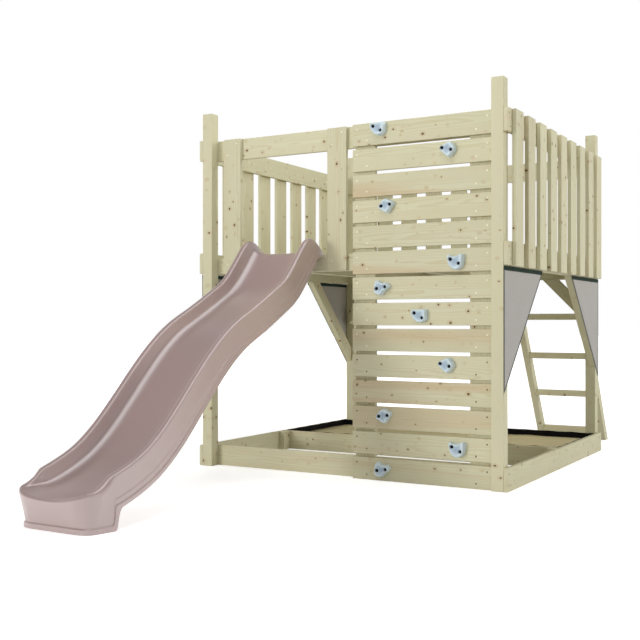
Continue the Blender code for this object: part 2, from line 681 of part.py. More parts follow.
def holds(mat):
    """Each hold stands on the wall with its own Z axis pointing out of it."""
    face = WALL_FRONT + TRIM - FIT
    length = WALL_RIGHT_X - WALL_LEFT_X
    for index, (number, along, up, shape, degrees) in enumerate(HOLDS, start=1):
        obj = add_object(f"hold_{index:02d}", hold_body(shape), mat)
        obj.location = (WALL_LEFT_X + along * length, face,
                        board_level(number) + up * BOARD_TALL)
        obj.rotation_euler = (radians(90), 0.0, 0.0)
        recess = cylinders(f"recess_{index:02d}", RECESS_R, RECESS_FLOOR, 2 * HOLD_DEEP, 12)
        bore = cylinders(f"bore_{index:02d}", BORE_R, -HOLD_DEEP, 1.5 * RECESS_FLOOR, 8)
        for tool in (recess, bore):
            tool.location = obj.location
            tool.rotation_euler = (radians(90), radians(-degrees), 0.0)
            cut = obj.modifiers.new(tool.name, "BOOLEAN")
            cut.operation = "DIFFERENCE"
            cut.object = tool
        obj.data.shade_smooth()
        obj.data.set_sharp_from_angle(angle=radians(40))


def build():
    clear_scene()
    wood = material("treated_pine", (0.62, 0.58, 0.40), 0.65)
    sheet = material("grey_sheet", (0.42, 0.40, 0.38), 0.80)
    liner_mat = material("black_liner", (0.01, 0.01, 0.01), 0.85)
    sand_mat = material("sand", (0.60, 0.52, 0.33), 0.95)
    plastic = material("rose_plastic", (0.38, 0.29, 0.28), 0.38)
    hold_mat = material("hold_plastic", (0.48, 0.60, 0.68), 0.55)
    posts(wood)
    base_boards(wood)
    deck_frame(wood)
    deck(wood)
    balustrades(wood)
    slide_jambs(wood)
    climbing_wall(wood)
    braces(wood)
    corner_panels(sheet)
    sandpit(wood, liner_mat, sand_mat)
    ladder(wood)
    slide(plastic)
    holds(hold_mat)


build()
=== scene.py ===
from math import radians

import bmesh
import bpy
import numpy as np
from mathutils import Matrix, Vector


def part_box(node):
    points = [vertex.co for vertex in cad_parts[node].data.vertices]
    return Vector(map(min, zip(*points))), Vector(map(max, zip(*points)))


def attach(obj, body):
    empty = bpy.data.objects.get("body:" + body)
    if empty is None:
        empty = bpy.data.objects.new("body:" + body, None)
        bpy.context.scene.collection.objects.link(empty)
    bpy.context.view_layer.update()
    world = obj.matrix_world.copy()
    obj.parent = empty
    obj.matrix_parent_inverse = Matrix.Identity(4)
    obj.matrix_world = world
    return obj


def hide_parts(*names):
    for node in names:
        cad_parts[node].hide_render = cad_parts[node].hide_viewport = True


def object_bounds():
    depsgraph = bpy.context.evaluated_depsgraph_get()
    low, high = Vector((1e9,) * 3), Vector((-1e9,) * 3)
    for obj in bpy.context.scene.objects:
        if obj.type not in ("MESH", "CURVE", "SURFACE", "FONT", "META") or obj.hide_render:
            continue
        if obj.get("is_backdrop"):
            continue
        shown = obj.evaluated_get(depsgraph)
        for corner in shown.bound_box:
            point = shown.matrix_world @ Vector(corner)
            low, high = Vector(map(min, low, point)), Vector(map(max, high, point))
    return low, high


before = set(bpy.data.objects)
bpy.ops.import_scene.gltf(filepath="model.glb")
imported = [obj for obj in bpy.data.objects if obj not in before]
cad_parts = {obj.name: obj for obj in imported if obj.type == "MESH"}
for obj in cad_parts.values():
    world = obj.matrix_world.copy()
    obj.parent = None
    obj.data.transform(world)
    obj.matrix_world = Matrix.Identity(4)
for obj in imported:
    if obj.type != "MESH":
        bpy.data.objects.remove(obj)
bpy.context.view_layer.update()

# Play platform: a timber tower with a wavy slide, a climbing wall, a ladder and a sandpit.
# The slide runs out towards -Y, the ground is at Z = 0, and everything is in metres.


# Camera
#
# Level, at a child's height in front of the climbing wall, and turned 29.9 degrees to the left.
# The lens and the small shift upwards give the photograph's frame.

def in_scene(name, data):
    """A new object of the scene that holds a camera, a lamp or a mesh."""
    made = bpy.data.objects.new(name, data)
    bpy.context.scene.collection.objects.link(made)
    return made


lens = bpy.data.cameras.new("camera")
lens.lens = 55.163
lens.shift_y = 0.0033
camera = in_scene("camera", lens)
camera.location = (2.7264, -5.3503, 0.9007)
camera.rotation_euler = (radians(90), 0, radians(29.888))
bpy.context.scene.camera = camera
bpy.context.scene.view_settings.view_transform = "Standard"


# Studio
#
# A room with white walls and a dimmer ceiling, broad soft lamps ahead, on the right and behind,
# and a long strip overhead, the only one whose reflection shows. The floor is pale, keeps a soft
# shadow and fades to white.

def feed(tree, node, inputs):
    """Sets inputs of a node, each to a number, a colour or another node's output."""
    for key, value in dict(inputs).items():
        if isinstance(value, bpy.types.NodeSocket):
            tree.links.new(value, node.inputs[key])
        else:
            node.inputs[key].default_value = value


def add(tree, kind, inputs=(), **settings):
    """A new shader node, with its settings and its inputs."""
    made = tree.nodes.new("ShaderNode" + kind)
    for key, value in settings.items():
        setattr(made, key, value)
    feed(tree, made, inputs)
    return made


def calculate(tree, operation, *values, clamp=False):
    """One Math node's result."""
    made = add(tree, "Math", dict(enumerate(values)), operation=operation, use_clamp=clamp)
    return made.outputs[0]


def times(tree, first, second):
    """Two values multiplied."""
    return calculate(tree, "MULTIPLY", first, second)


def ranged(tree, value, first, last, low=0.0, high=1.0, **settings):
    """A value that goes from low to high, made to go from first to last."""
    made = add(tree, "MapRange", {"Value": value, "From Min": low, "From Max": high,
                                  "To Min": first, "To Max": last}, **settings)
    return made.outputs[0]


def step(tree, value, low, high, first=0.0, last=1.0):
    """First below low, last above high, and a smooth change between them."""
    return ranged(tree, value, first, last, low, high, interpolation_type="SMOOTHSTEP")


def seen_directly(tree):
    """1 on rays from the camera, or seen in gloss or through clear things, otherwise 0."""
    path = add(tree, "LightPath").outputs
    seen = calculate(tree, "ADD", path["Is Camera Ray"], path["Is Glossy Ray"])
    return calculate(tree, "ADD", seen, path["Is Transmission Ray"], clamp=True)


studio = bpy.data.worlds.new("studio")
bpy.context.scene.world = studio
studio.use_nodes = True
sky = studio.node_tree
sky.nodes.clear()
height = add(sky, "SeparateXYZ", {0: add(sky, "TexCoord").outputs["Generated"]}).outputs[2]
walls = step(sky, height, 0.1, 0.8, 1.0, 0.2)
level = ranged(sky, seen_directly(sky), 0.82, 1.0)
shine = calculate(sky, "MAXIMUM", times(sky, walls, level),
                  add(sky, "LightPath").outputs["Is Camera Ray"])
backdrop = add(sky, "Background", {"Color": (1, 1, 1, 1), "Strength": shine})
sky.links.new(backdrop.outputs[0], add(sky, "OutputWorld").inputs[0])

# Each lamp's name, sides, power, place, and the point that it is turned to.
for name, wide, long, power, place, aim in (
        ("key", 3.6, 3.6, 700.0, (-5.8, -13.0, 2.4), (0.0, 0.2, 1.1)),
        ("side", 2.6, 2.6, 305.0, (8.4, 2.3, 4.8), (0.3, 0.3, 1.1)),
        ("rear", 3.4, 3.4, 240.0, (-7.4, 7.0, 3.4), (-0.3, 0.3, 1.1)),
        ("strip", 1.7, 5.0, 56.0, (0.50, -1.7, 4.0), (0.50, -1.7, 0.0))):
    lamp = bpy.data.lights.new(name + "_lamp", "AREA")
    lamp.shape = "RECTANGLE"
    lamp.size, lamp.size_y = wide, long
    lamp.energy = power
    holder = in_scene(name + "_lamp", lamp)
    holder.visible_glossy = name == "strip"
    holder.location = place
    holder.rotation_euler = (Vector(aim) - Vector(place)).to_track_quat("-Z", "Y").to_euler()


def new_material(name):
    """A material, with its node tree and its Principled shader."""
    made = bpy.data.materials.new(name)
    made.use_nodes = True
    return made, made.node_tree, made.node_tree.nodes["Principled BSDF"]


# Where it is seen directly, the floor glows, and the more so the further out.
floor_paint, tree, shader = new_material("floor_paint")
place = add(tree, "TexCoord").outputs["Object"]
away = add(tree, "VectorMath", {0: place}, operation="LENGTH").outputs["Value"]
glow = times(tree, seen_directly(tree), step(tree, away, 1.8, 5.0, 0.56, 1.0))
feed(tree, shader, {"Base Color": (0.88, 0.88, 0.88, 1), "Roughness": 0.9,
                    "Emission Color": (1, 1, 1, 1), "Emission Strength": glow})
floor_mesh = bpy.data.meshes.new("floor")
floor_mesh.from_pydata([(-40, -40, 0), (40, -40, 0), (40, 60, 0), (-40, 60, 0)], [], [(0, 1, 2, 3)])
floor_mesh.materials.append(floor_paint)
floor = in_scene("floor", floor_mesh)
floor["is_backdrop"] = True


# Posts
#
# Four 70 mm square posts of planed, pressure-treated pine run from the ground to above the top
# rails. Everything else is screwed to them. All the timber of the tower is the same wood.

def srgb(red, green, blue):
    """A colour read as 0 to 255 on a screen, as the linear values that shaders take."""
    screen = np.array([red, green, blue]) / 255
    linear = np.where(screen < 0.04045, screen / 12.92, ((screen + 0.055) / 1.055) ** 2.4)
    return (*linear, 1.0)


def mixed(tree, share, first, second):
    """Two colours mixed by share."""
    return add(tree, "Mix", {0: share, 6: first, 7: second}, data_type="RGBA").outputs[2]


def layered(tree, tint, *layers):
    """A colour with others laid over it in turn, each by its own share."""
    for share, over in layers:
        tint = mixed(tree, share, tint, srgb(*over))
    return tint


def field(tree, name):
    """What a surface keeps on its points under that name."""
    return add(tree, "Attribute", attribute_name=name).outputs["Vector"]


def stretched(tree, place, stretch):
    """A place multiplied by a number along each axis."""
    return add(tree, "VectorMath", {0: place, 1: stretch}, operation="MULTIPLY").outputs[0]


def noise(tree, place, cycles, detail=2):
    """Fractal noise from 0 to 1, with so many cycles to the metre along each axis."""
    made = add(tree, "TexNoise", {"Vector": stretched(tree, place, cycles), "Scale": 1.0,
                                  "Detail": detail})
    return made.outputs[0]


def even_noise(tree, cycles, detail=2):
    """The same noise all over the object, with as many cycles along every axis."""
    return noise(tree, add(tree, "TexCoord").outputs["Object"], (cycles,) * 3, detail)


def bumped(tree, strength, deep, height):
    """A normal for a relief that is deep metres deep where its height goes from 0 to 1."""
    return add(tree, "Bump", {"Strength": strength, "Distance": deep, "Height": height}).outputs[0]


def treated_pine():
    """Solid wood, read in each board's own log: x along it, y and z out from its heart.

    A growth ring is the fractional part of (distance from the heart + wander) / ring width.
    Knots are the nearest seeds of scattered cells, and the rings bulge round them.
    """
    made, tree, shader = new_material("treated_pine")
    log = field(tree, "log")
    shade, warm, knotty = add(tree, "SeparateXYZ", {0: field(tree, "board")}).outputs

    # Knots: far is the way to the nearest seed, and wide the radius of the knot round it, both in
    # cells. A seed drawn too small has none. Chance gives each its own radius and strength.
    cells = stretched(tree, log, (18, 22, 12))
    seed = add(tree, "TexVoronoi", {"Vector": cells, "Scale": 1.0, "Randomness": 1.0}).outputs
    far = seed["Distance"]
    chance = add(tree, "SeparateColor", {0: seed["Color"]}).outputs
    wide = times(tree, ranged(tree, chance[0], 0.04, 0.17, 0.22, 1.0, clamp=False), knotty)
    ragged = calculate(tree, "MULTIPLY_ADD", noise(tree, log, (150, 260, 260)), 0.04, far)
    inside = calculate(tree, "SUBTRACT", wide, ragged)
    knot = step(tree, inside, -0.012, 0.018)
    rim = times(tree, knot, step(tree, inside, 0.060, 0.020))
    around = calculate(tree, "DIVIDE", far, calculate(tree, "MAXIMUM", wide, 0.01))
    halo = times(tree, step(tree, around, 3.0, 0.9), step(tree, wide, 0.0, 0.03))
    strong = ranged(tree, chance[1], 0.6, 1.0)
    knot, rim, halo = (times(tree, part, strong) for part in (knot, rim, halo))

    # Rings: late is the dark wood at the end of each year's growth.
    ring_width = 0.0046
    aside = stretched(tree, log, (0, 1, 1))
    radius = add(tree, "VectorMath", {0: aside}, operation="LENGTH").outputs["Value"]
    wander = calculate(tree, "MULTIPLY_ADD", noise(tree, log, (0.9, 7, 7), 3), 0.030, radius)
    wander = calculate(tree, "MULTIPLY_ADD", noise(tree, log, (5, 40, 40)), 0.0035, wander)
    wander = calculate(tree, "MULTIPLY_ADD", halo, 0.006, wander)
    ring = calculate(tree, "FRACT", calculate(tree, "DIVIDE", wander, ring_width))
    late = times(tree, step(tree, ring, 0.35, 0.92), step(tree, ring, 1.0, 0.94))

    fibre = noise(tree, log, (9, 620, 620))
    streak = step(tree, noise(tree, log, (0.6, 13, 13), 3), 0.40, 0.68)
    sap = mixed(tree, noise(tree, log, (2.2, 5, 5)), srgb(215, 211, 184), srgb(204, 203, 170))
    tint = layered(tree, sap, (times(tree, streak, warm), (204, 185, 152)),
                   (times(tree, late, 0.38), (190, 174, 128)),
                   (times(tree, fibre, 0.16), (184, 174, 134)),
                   (times(tree, halo, 0.50), (186, 158, 112)),
                   (knot, (90, 62, 40)), (rim, (50, 34, 24)))
    toned = add(tree, "HueSaturation", {"Value": shade, "Color": tint}).outputs[0]

    relief = calculate(tree, "MULTIPLY_ADD", late, 0.5, times(tree, fibre, 0.5))
    relief = calculate(tree, "ADD", relief, knot)
    feed(tree, shader, {"Base Color": toned, "Roughness": ranged(tree, late, 0.66, 0.54),
                        "Specular IOR Level": 0.35, "Normal": bumped(tree, 0.5, 0.0004, relief)})
    return made


def surface(name, points, quads, material, slot, normals=None, poles=False, **fields):
    """A mesh of four-sided faces that rides on the fixed frame, with its fields on its points.
    Where a row of points meets in one pole, they are merged into it."""
    mesh = bpy.data.meshes.new(name)
    mesh.vertices.add(points.size // 3)
    mesh.vertices.foreach_set("co", np.ravel(points).astype(np.float32))
    mesh.loops.add(quads.size)
    mesh.loops.foreach_set("vertex_index", np.ravel(quads).astype(np.int32))
    mesh.polygons.add(len(quads))
    mesh.polygons.foreach_set("loop_start", np.arange(0, quads.size, 4, dtype=np.int32))
    mesh.update(calc_edges=True)
    mesh.shade_smooth()
    for key, values in fields.items():
        kept = mesh.attributes.new(key, "FLOAT_VECTOR", "POINT")
        kept.data.foreach_set("vector", np.ravel(values).astype(np.float32))
    if poles:
        joined = bmesh.new()
        joined.from_mesh(mesh)
        bmesh.ops.remove_doubles(joined, verts=joined.verts, dist=1e-6)
        joined.to_mesh(mesh)
        joined.free()
    if normals is not None:
        mesh.normals_split_custom_set_from_vertices(normals.reshape(-1, 3).tolist())
    mesh.materials.append(material)
    made = in_scene(name, mesh)
    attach(made, "root")
    return made


def quads_of(number):
    """The faces between neighbours in a grid of point numbers."""
    corners = number[:-1, :-1], number[:-1, 1:], number[1:, 1:], number[1:, :-1]
    return np.stack(corners, -1).reshape(-1, 4)


def grid_quads(rows, columns, closed=False):
    """The faces of points held row by row. Closed rows come back to their first point."""
    number = np.arange(rows * columns).reshape(rows, columns)
    return quads_of(np.hstack((number, number[:, :1])) if closed else number)


pine = treated_pine()
arris = 0.0032                   # radius of the planed boards' eased edges
fit = 0.00015                    # each board is this much bare of its nominal faces
sawmill = np.random.default_rng(411)


def board(name, middle, along, across, size, skew=(0.0, 0.0), warm=None):
    """A planed board with its arrises eased, u along it, v across it and w through it.

    Its section is a rectangle with a quarter round at each corner: corner + arris (cos a, sin a).
    Towards each end, b turns from 0 to 90 degrees while the section draws in by
    0.7 arris (1 - cos b) and runs on to the end's plane, which is skewed by skew * v.
    """
    long, wide, thick = size
    through = np.cross(along, across)
    a = (np.linspace(0, np.pi / 2, 4) + np.arange(4)[:, None] * np.pi / 2).ravel()
    side_v = np.repeat([1, -1, -1, 1], 4)
    side_w = np.repeat([1, 1, -1, -1], 4)
    b = np.radians([90, 45, 0])
    run = long / 2 - arris * (1 - np.sin(b))
    run = np.hstack((-run, run[::-1]))[:, None]
    turn = np.hstack((b, b[::-1]))[:, None]
    end = np.repeat([-1.0, 1.0], 3)[:, None]
    slope = np.repeat(skew, 3)[:, None]
    left = arris * (1 - 0.7 * (1 - np.cos(turn)))
    v = side_v * (wide / 2 - arris) + left * np.cos(a)
    w = side_w * (thick / 2 - arris) + left * np.sin(a)
    u = run + slope * v
    cap = np.hstack((end, -end * slope, 0 * end)) / np.sqrt(1 + slope ** 2)
    flank = np.stack((0 * a, np.cos(a), np.sin(a)), -1)
    facing = np.cos(turn)[:, :, None] * flank + np.sin(turn)[:, :, None] * cap[:, None]
    facing /= np.linalg.norm(facing, axis=2, keepdims=True)

    axes = np.array((along, across, through), float)
    local = np.stack((u, v + 0 * u, w + 0 * u), -1)
    points = local @ axes + np.array(middle)
    # Six rings of 16 points, and seven faces across the first and the last of them.
    face = np.arange(7)[:, None]
    first = np.hstack((face, 15 - face, 14 - face, face + 1))
    quads = np.vstack((grid_quads(6, 16, closed=True), first, first[:, ::-1] + 5 * 16))

    # Where this board lay in its log: how far along, how far from the heart, how much aslant.
    aside = sawmill.uniform(-0.05, 0.05), sawmill.choice((-1, 1)) * sawmill.uniform(0.025, 0.10)
    lean = sawmill.uniform(-0.012, 0.012, 2)
    log = np.stack((u + sawmill.uniform(0, 60), v + aside[0] + lean[0] * u,
                    w + aside[1] + lean[1] * u), -1)
    pinkish = sawmill.beta(0.9, 2.2) if warm is None else warm
    traits = (sawmill.uniform(0.965, 1.035), pinkish, sawmill.uniform(0.75, 1.1))
    return surface(name, points, quads, pine, "treated_pine", facing @ axes,
                   log=log, board=np.tile(traits, (points.size // 3, 1)))


def box_board(name, low, high, **more):
    """A board that fills a box: its longest side is along it and its shortest through it."""
    low, high = np.array(low), np.array(high)
    size = high - low
    order = np.argsort(-size, kind="stable")
    axes = np.eye(3)[order]
    return board(name, (low + high) / 2, axes[0], axes[1], size[order], **more)


def fitted_board(name, low, high, **more):
    """A board between nominal faces, bare of each of them."""
    return box_board(name, np.array(low) + fit, np.array(high) - fit, **more)


def node_board(node, **more):
    """A board in the place of the part's solid of the same name."""
    made = box_board(node + "_timber", *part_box(node), **more)
    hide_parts(node)


for end in ("front", "rear"):
    for side in ("left", "right"):
        node_board(f"post_{end}_{side}", warm=0.1)

half_width = -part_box("post_front_left")[0].x + fit
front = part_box("post_front_left")[0].y - fit
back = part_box("post_rear_left")[1].y + fit
post_side = 0.070
thick, tall = 0.024, 0.128       # the boards' section


# Base
#
# Boards on edge join the posts' feet, and one more crosses the middle in front of the sandpit,
# with a short block at each end that it is screwed to.

for node in ("base_board_front", "base_board_rear", "base_board_left", "base_board_right",
             "sandpit_divider", "divider_cleat_left", "divider_cleat_right"):
    node_board(node, warm=0.35 if node == "base_board_front" else None)


# Deck
#
# Two beams run across between the posts, four joists run between the beams, and 14 planed boards
# lie across them, each with a pair of screws at every joist. Rails cover the boards' ends.

for node in ("rim_beam_front", "rim_beam_rear", "edge_joist_left", "edge_joist_right",
             "rim_rail_left", "rim_rail_right"):
    node_board(node)

deck_low, deck_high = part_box("deck")
beam_bottom = deck_low.z - fit
deck_top = deck_high.z + fit
joist = 0.045                    # how thick the joists, beams and braces are
deck_thick, deck_gap, deck_boards = 0.022, 0.0063, 14
joist_lines = -half_width + np.arange(4) / 3 * (2 * half_width - joist)
for k in (1, 2):
    x = joist_lines[k]
    fitted_board(f"inner_joist_{k}", (x, front + post_side + joist, beam_bottom),
                 (x + joist, back - post_side - joist, deck_top - deck_thick))
deck_wide = (deck_high.y - deck_low.y + 2 * fit + deck_gap) / deck_boards - deck_gap
deck_lines = deck_low.y - fit + np.arange(deck_boards) * (deck_wide + deck_gap)
for k, y in enumerate(deck_lines):
    laid = fitted_board(f"deck_board_{k + 1:02d}", (-half_width, y, deck_top - deck_thick),
                        (half_width, y + deck_wide, deck_top))
    if k == 0:
        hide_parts("deck")


# Rails and slats
#
# A rail joins the posts' tops on each side. Upright slats hang from it down over the deck's
# edge, outside the rails at the sides and outside the posts' inner line at the back.

for node in ("top_rail_front", "top_rail_rear"):
    node_board(node, warm=0.25)
rail_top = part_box("top_rail_front")[1].z + fit
slat_wide, slat_drop, side_slats = 0.125, 0.001, 9    # slats end a little under the rails' tops
first_slat, last_slat = 0.066, 0.089                  # from the posts' front and rear faces
slat_pitch = (back - front - first_slat - last_slat - slat_wide) / (side_slats - 1)
slat_lines = front + first_slat + np.arange(side_slats) * slat_pitch
for side, way in (("left", -1), ("right", 1)):
    x = sorted((way * half_width, way * (half_width + thick)))
    rail = fitted_board(f"top_rail_{side}", (x[0], front, rail_top - tall), (x[1], back, rail_top))
    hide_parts(f"balustrade_{side}")
    x = sorted((way * (half_width + thick), way * (half_width + 2 * thick)))
    for k, y in enumerate(slat_lines):
        fitted_board(f"{side}_slat_{k + 1}", (x[0], y, beam_bottom),
                     (x[1], y + slat_wide, rail_top - slat_drop))
for k in range(6):
    node_board(f"rear_slat_{k + 1}")


# Slide doorway
#
# An upright board each side of the slide, with two screws into the front rail and two into the
# front beam. The right one is of warmer heartwood.

node_board("slide_jamb_left", warm=0.15)
node_board("slide_jamb_right", warm=0.45)


# Climbing wall
#
# Fourteen level boards, from the ground to the rail, screwed to two upright studs behind them
# with two screws at each crossing. Some boards are of warmer heartwood.

wall_low, wall_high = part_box("climbing_wall")
wall_front = wall_low.y - fit
wall_left, wall_right = wall_low.x - fit, wall_high.x + fit
wall_warmth = (0.25, 0.1, 0.95, 0.15, 0.1, 0.7, 0.2, 0.1, 0.85, 0.1, 0.9, 0.6, 0.35, 0.4)
wall_pitch = (rail_top - slat_drop - tall) / (len(wall_warmth) - 1)
wall_lines = np.arange(len(wall_warmth))[::-1] * wall_pitch
stud_inset = 0.008
for side, x in (("left", wall_left + stud_inset), ("right", wall_right - stud_inset - tall)):
    stud = fitted_board(f"wall_stud_{side}", (x, wall_front + thick, -fit),
                        (x + tall, wall_front + 2 * thick, rail_top))
    if side == "left":
        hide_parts("climbing_wall")
for k, (z, warm) in enumerate(zip(wall_lines, wall_warmth)):
    fitted_board(f"wall_board_{k + 1:02d}", (wall_left, wall_front, z),
                 (wall_right, wall_front + thick, z + tall), warm=warm)


# Braces
#
# Under the deck a timber at 45 degrees holds each post square to its side, and two more hold
# the rear posts square to the rear beam. Their ends are cut to meet post and beam.

brace_wide = 0.078
half = np.sqrt(0.5)


def brace(node, low_end, high_end, inward):
    """A timber whose outer edge runs between two points, cut plumb below and level above."""
    low_end, high_end, inward = (np.array(p, float) for p in (low_end, high_end, inward))
    run = high_end - low_end
    length = np.linalg.norm(run)
    made = board(node + "_timber", (low_end + high_end) / 2 + inward * brace_wide / 2,
                 run / length, inward, (length - brace_wide, brace_wide, joist - 2 * fit),
                 skew=(1.0, -1.0))
    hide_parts(node)


for end, way in (("front", 1), ("rear", -1)):
    for side in ("left", "right"):
        low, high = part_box(f"side_brace_{end}_{side}")
        x = (low.x + high.x) / 2
        foot, head = (low.y, high.y) if way == 1 else (high.y, low.y)
        brace(f"side_brace_{end}_{side}", (x, foot, low.z), (x, head, high.z),
              (0, -way * half, half))
for side, way in (("left", 1), ("right", -1)):
    low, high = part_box(f"rear_brace_{side}")
    y = (low.y + high.y) / 2
    foot, head = (low.x, high.x) if way == 1 else (high.x, low.x)
    brace(f"rear_brace_{side}", (foot, y, low.z), (head, y, high.z), (-way * half, 0, half))


# Ladder
#
# Two stringers lean at 31 degrees against the rear beam, cut level at the foot and plumb at the
# head, with four rungs housed between them.

lean = radians(31.2)
along = np.array((0, -np.sin(lean), np.cos(lean)))
across = np.array((0, np.cos(lean), np.sin(lean)))
stringer_deep = 0.070
for side in ("left", "right"):
    low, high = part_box(f"ladder_stringer_{side}")
    # The middle line runs from the foot's level cut to the head's plumb cut.
    foot = np.array(((low.x + high.x) / 2, high.y - stringer_deep / 2 / np.cos(lean), 0.0))
    length = (foot[1] - low.y) / np.sin(lean)
    made = board(f"ladder_stringer_{side}_timber", foot + along * length / 2, along, across,
                 (length, stringer_deep, high.x - low.x), skew=(-np.tan(lean), 1 / np.tan(lean)))
    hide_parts(f"ladder_stringer_{side}")
for k in range(4):
    node_board(f"ladder_rung_{k + 1}")


# Slide
#
# One hollow moulding of thick plastic: a wavy bed between two rolled edges, with skirts that end
# in a stepped hem. Its lip lies on the deck and its foot is a box that stands on the ground.

def moulded_plastic():
    """Satin plastic: faint clouds in its colour, and the fine orange-peel skin of the mould."""
    made, tree, shader = new_material("slide_plastic")
    clouds = mixed(tree, even_noise(tree, 3, 3), srgb(168, 142, 138), srgb(163, 136, 132))
    tint = layered(tree, clouds, (times(tree, even_noise(tree, 420, 1), 0.16), (184, 167, 164)))
    worn = ranged(tree, even_noise(tree, 14, 4), 0.28, 0.33, 0.3, 0.7)
    peel = bumped(tree, 0.15, 0.0001, even_noise(tree, 240))
    feed(tree, shader, {"Base Color": tint, "Roughness": worn, "Coat Weight": 1.0, "Coat IOR": 2.2,
                        "Coat Roughness": 0.31, "Normal": peel})
    return made


def smooth_through(points, steps):
    """A Catmull-Rom curve, in so many steps from each point to the next. From b to c, with a
    before and d after, at t from 0 to 1 it is
    b + (c - a) t/2 + (2a - 5b + 4c - d) t^2/2 + (3b - a - 3c + d) t^3/2."""
    points = np.asarray(points, float)
    ends = np.vstack(([2 * points[0] - points[1]], points, [2 * points[-1] - points[-2]]))
    a, b, c, d = (ends[k:len(ends) - 3 + k, None] for k in range(4))
    t = (np.arange(steps) / steps)[None, :, None]
    curve = b + ((c - a) * t + (2 * a - 5 * b + 4 * c - d) * t ** 2
                 + (3 * b - a - 3 * c + d) * t ** 3) / 2
    return np.vstack((curve.reshape(-1, points.shape[1]), points[-1:]))


slide_low, slide_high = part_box("slide")
slide_x = (slide_low.x + slide_high.x) / 2
toe, lip_end = slide_low.y, slide_high.y
doorway = front + post_side             # the deck's edge, where the bed starts to fall
skin = 0.005
bed_top = deck_top + 2 * fit + skin
# Rolled edges: from the centre line to their outside, width, height, lean of their inner wall.
crest_half, crest_wide, crest_tall, crest_lean = 0.2265, 0.039, 0.091, 0.012
skirt_deep, skirt_flare, hem_tall, hem_out, hem_ledge = 0.061, 0.004, 0.028, 0.007, 0.004
# Toe: height, length of its box, plan radius of its corners, length of its dish, and how far its
# sides and its front lean in towards the ground.
toe_tall, toe_box, toe_corner, toe_dish = 0.143, 0.178, 0.100, 0.160
toe_taper, toe_undercut = 0.024, 0.040
# Lengths over which the edges rise at the head, the skirts deepen and the edges sink to the toe.
head_run, skirt_run, toe_run = 0.170, 0.160, 0.185

# The bed's wave: share of the way from the deck's edge to the toe, share of the drop.
wave = np.array((
    (0.000, 1.000), (0.057, 1.000), (0.077, 0.988), (0.125, 0.898), (0.184, 0.798),
    (0.259, 0.727), (0.344, 0.654), (0.434, 0.582), (0.509, 0.495), (0.583, 0.382),
    (0.658, 0.258), (0.723, 0.159), (0.793, 0.080), (0.873, 0.026), (0.910, 0.011),
    (0.948, 0.004), (0.994, 0.000), (1.000, -0.008)))
falling = np.stack((doorway - wave[:, 0] * (doorway - toe),
                    toe_tall + wave[:, 1] * (bed_top - toe_tall)), 1)
bed_line = smooth_through([(lip_end, bed_top), ((lip_end + doorway) / 2, bed_top), *falling], 12)


def bed(y):
    """Height of the bed's middle."""
    return np.interp(-y, -bed_line[:, 0], bed_line[:, 1])


# Cross sections stand where the shape turns quickly, and evenly between those places.
box_end = toe + toe_box
fixed = np.array((lip_end, lip_end - 0.008, doorway - 0.025 * skirt_run,
                  doorway - 0.125 * skirt_run, box_end, box_end - 0.010, box_end - hem_tall,
                  box_end - hem_tall - hem_ledge, toe + 0.020, toe + 0.009, toe,
                  *(doorway - np.array((0.045, 0.080, 0.110, 0.130, 0.146, 0.162, 0.185)))))
sections, closest = 41, 0.013
even = np.linspace(lip_end, toe, sections)[1:-1]
apart = np.abs(even[:, None] - fixed).min(1) > closest
at = np.sort(np.hstack((fixed, even[apart])))[::-1]
# They stand square to the bed, sloped as it is over a reach either way, and upright at its ends.
reach = 0.0178
run_y = np.where(np.minimum(at - toe, lip_end - at) < reach, 0.0, bed(at - reach) - bed(at + reach))
slope = np.hypot(run_y, 2 * reach)
up_y, up_z = run_y / slope, 2 * reach / slope

# The rolled edges sink to the lip at the head and to a low rim at the toe.
crest = crest_tall * np.minimum(
    np.interp((doorway - at) / head_run, (-0.02, 0.04, 0.12, 0.72, 0.84),
              (0.02, 0.06, 0.18, 0.92, 1.00)),
    np.interp((at - toe) / toe_run, (0.00, 0.24, 0.44, 0.65, 0.79, 1.00),
              (0.36, 0.46, 0.55, 0.66, 0.84, 1.00)))[:, None]
dish = np.maximum(0, 1 - (at - toe) / toe_dish)[:, None]

# Half of a cross section: a flat bed, a fillet, a leaning inner wall and a half-round roll.
inner = crest_half - crest_wide
foot = inner - crest_lean * crest / crest_tall
roll = np.radians([160, 125, 90, 55, 20])
sunk = np.minimum(0.3 * crest_wide, crest / 2)
across = np.hstack((foot * (0, 0.22, 0.45, 0.60, 0.72, 0.84, 0.94, 0.99), 0 * foot + 0.99 * inner,
                    0 * foot + inner + crest_wide / 2 * (1 + np.cos(roll)),
                    0 * foot + crest_half))
# Heights of the bed and the fillet as shares of the crest's: on the way down, and in the dish.
flat = np.array((0.00, 0.004, 0.020, 0.048, 0.095, 0.18, 0.31, 0.44, 0.80))
curved = np.array((0.00, 0.035, 0.14, 0.26, 0.39, 0.55, 0.70, 0.79, 0.80))
above = np.hstack((crest * (flat + dish * (curved - flat)), crest - sunk * (1 - np.sin(roll)),
                   crest - 1.4 * sunk))
across = np.hstack((-across[:, :0:-1], across))
above = np.hstack((above[:, :0:-1], above))
across *= np.interp(doorway - at, (-0.03, 0.02), (0.84, 1.0))[:, None]      # the lip is narrower

# Its corners are rounded in plan at the toe: points there stop short of the front.
past = np.maximum(0, np.abs(across) - (crest_half - toe_corner))
short = toe_corner - np.sqrt(np.maximum(0, toe_corner ** 2 - past ** 2))
short = short * np.maximum(0, 1 - (at - toe) / (2 * toe_corner))[:, None]
upper = np.stack((slide_x + across, at[:, None] + above * up_y[:, None] + short,
                  bed(at)[:, None] + above * up_z[:, None]), -1)
rows, columns = above.shape

